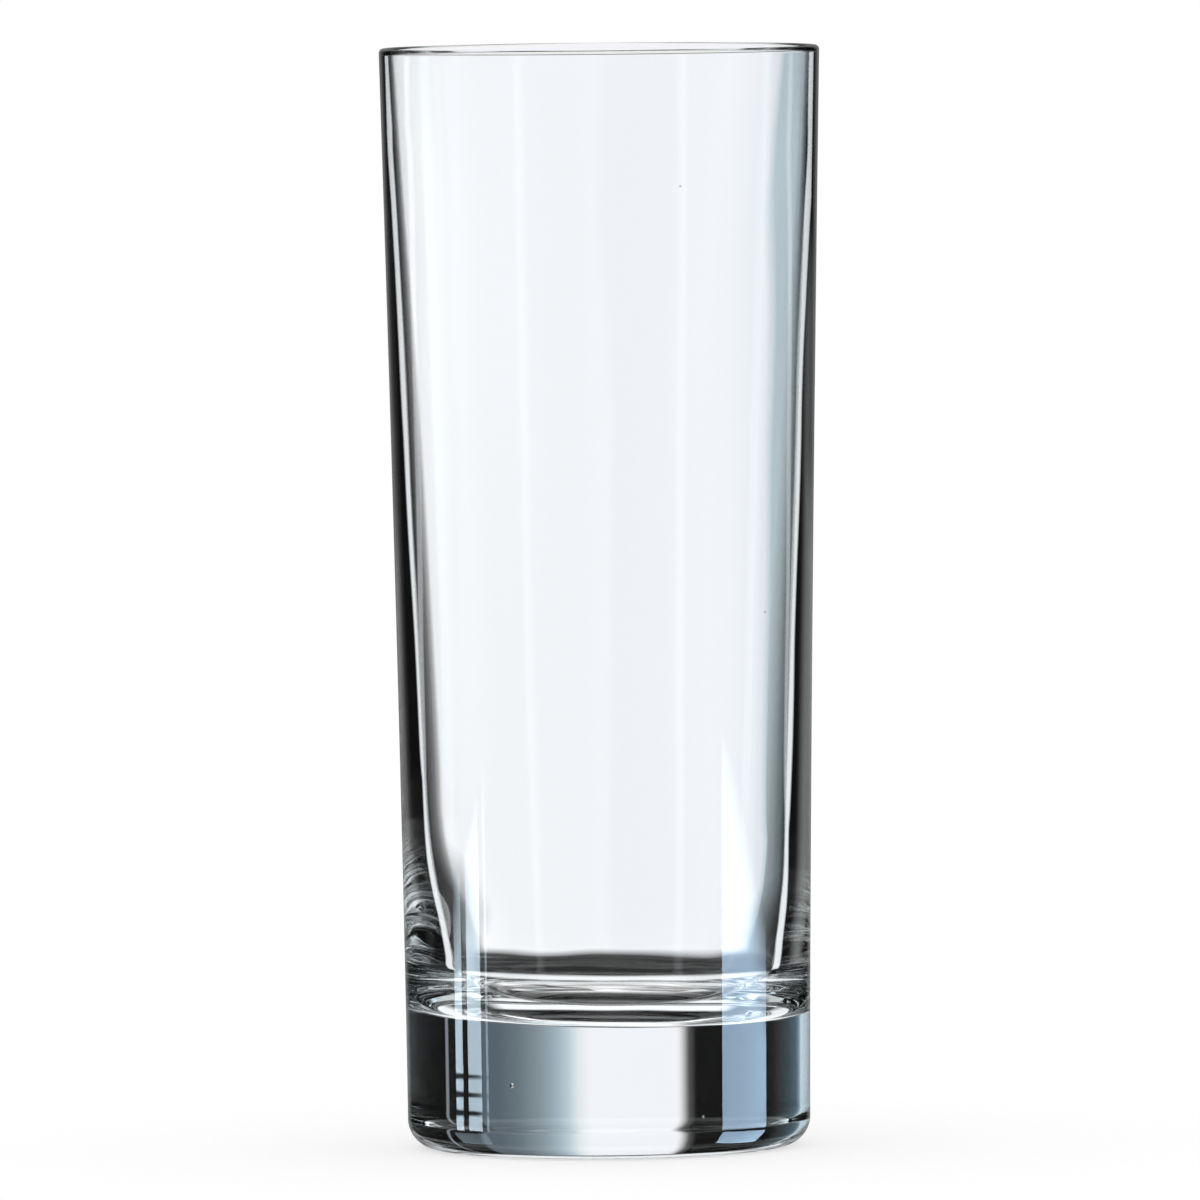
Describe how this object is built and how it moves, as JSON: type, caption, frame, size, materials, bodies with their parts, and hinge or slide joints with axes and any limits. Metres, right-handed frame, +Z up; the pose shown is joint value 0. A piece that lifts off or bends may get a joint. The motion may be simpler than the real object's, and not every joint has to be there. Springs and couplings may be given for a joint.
{
  "type": "highball glass",
  "caption": "Tall, almost straight clear drinking glass with a thin rounded rim, a thick solid base, a rounded heel and a shallow hollow underneath.",
  "frame": {"origin": "centre of the circle that the glass stands on, at table height", "axes": "+Z up along the axis of the glass to its open mouth; the glass is round, so +X and +Y are any two directions across it"},
  "size_m": [0.0632, 0.0632, 0.158],
  "materials": {
    "clear_glass": "clear colourless soda-lime glass, fire-polished and glossy, with a faint cool tint in the thick base"
  },
  "bodies": {
    "root": {"tumbler": "clear_glass"}
  },
  "joints": []
}
